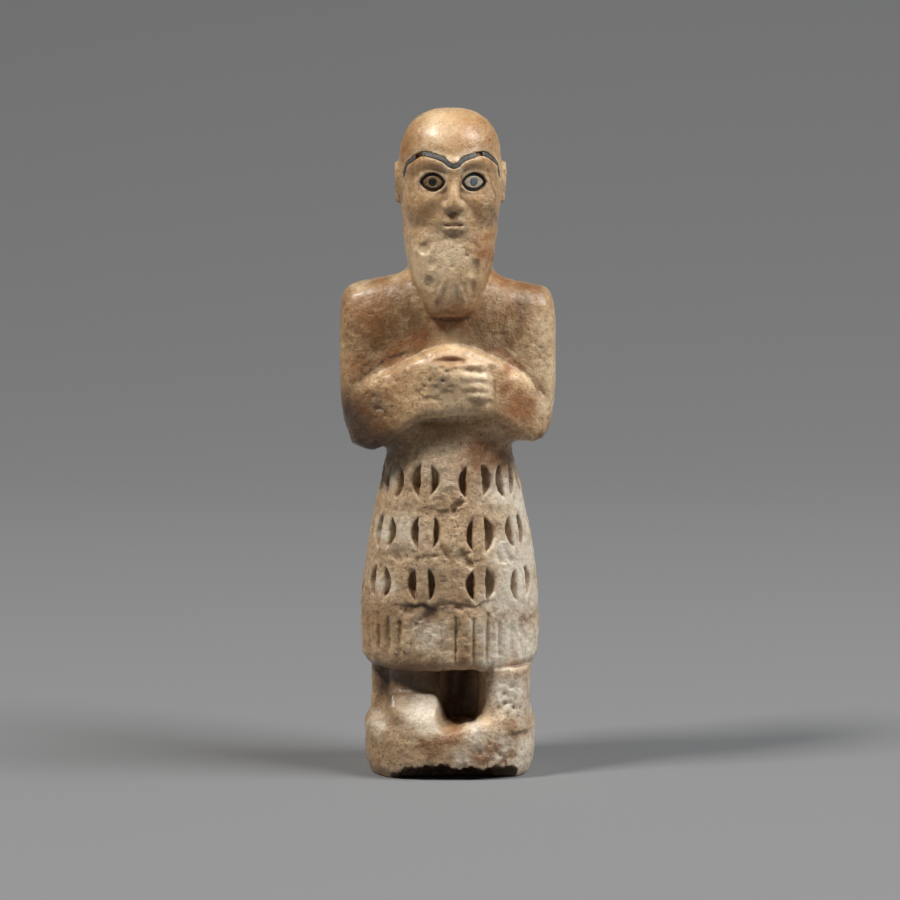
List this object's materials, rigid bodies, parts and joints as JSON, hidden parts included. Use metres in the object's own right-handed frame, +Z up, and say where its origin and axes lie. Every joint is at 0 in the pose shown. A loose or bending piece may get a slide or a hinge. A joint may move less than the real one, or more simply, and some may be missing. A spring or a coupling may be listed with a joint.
{
  "type": "sumerian worshipper figure",
  "caption": "Standing stone worshipper with clasped hands, a long beard and a tufted kilt, with inlaid eyes and brow, carved in one with a low plinth.",
  "frame": {"origin": "middle of the plinth's underside, on the surface that the figure stands on", "axes": "+Z up, -Y the way the figure faces, +X towards the figure's left hand"},
  "size_m": [0.0812, 0.06, 0.25],
  "materials": {
    "alabaster": "worn, smooth and stained",
    "bitumen": "dry natural bitumen",
    "brow_bitumen": "weathered grey bitumen",
    "shell": "worn shell",
    "black_pupil": "polished dark stone",
    "grey_pupil": "dull blue-grey stone"
  },
  "bodies": {
    "root": {"figure": "alabaster", "eye_bed_right": "bitumen", "eye_shell_right": "shell", "pupil_right": "black_pupil", "eye_bed_left": "bitumen", "eye_shell_left": "shell", "pupil_left": "grey_pupil", "brow_inlay_right": "brow_bitumen", "brow_inlay_middle": "brow_bitumen", "brow_inlay_left": "brow_bitumen"}
  },
  "joints": []
}
